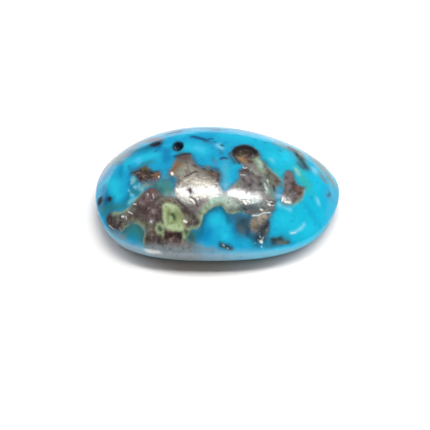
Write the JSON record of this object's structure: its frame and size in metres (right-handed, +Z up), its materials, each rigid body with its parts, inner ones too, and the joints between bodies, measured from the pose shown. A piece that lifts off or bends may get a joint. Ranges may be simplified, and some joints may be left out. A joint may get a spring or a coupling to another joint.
{
  "type": "turquoise cabochon",
  "caption": "Polished egg-shaped turquoise cabochon with bronze and silver pyrite matrix, a domed crown with small open pits and a flat base to set or rest on.",
  "frame": {"origin": "middle of the stone's plan, on the flat base", "axes": "+X towards the narrower end along the length, +Z up through the dome, +Y across the width"},
  "size_m": [0.025, 0.0172, 0.0072],
  "materials": {
    "turquoise": "polished azure turquoise with brown, green and pyrite matrix"
  },
  "bodies": {
    "root": {"turquoise_stone": "turquoise"}
  },
  "joints": []
}
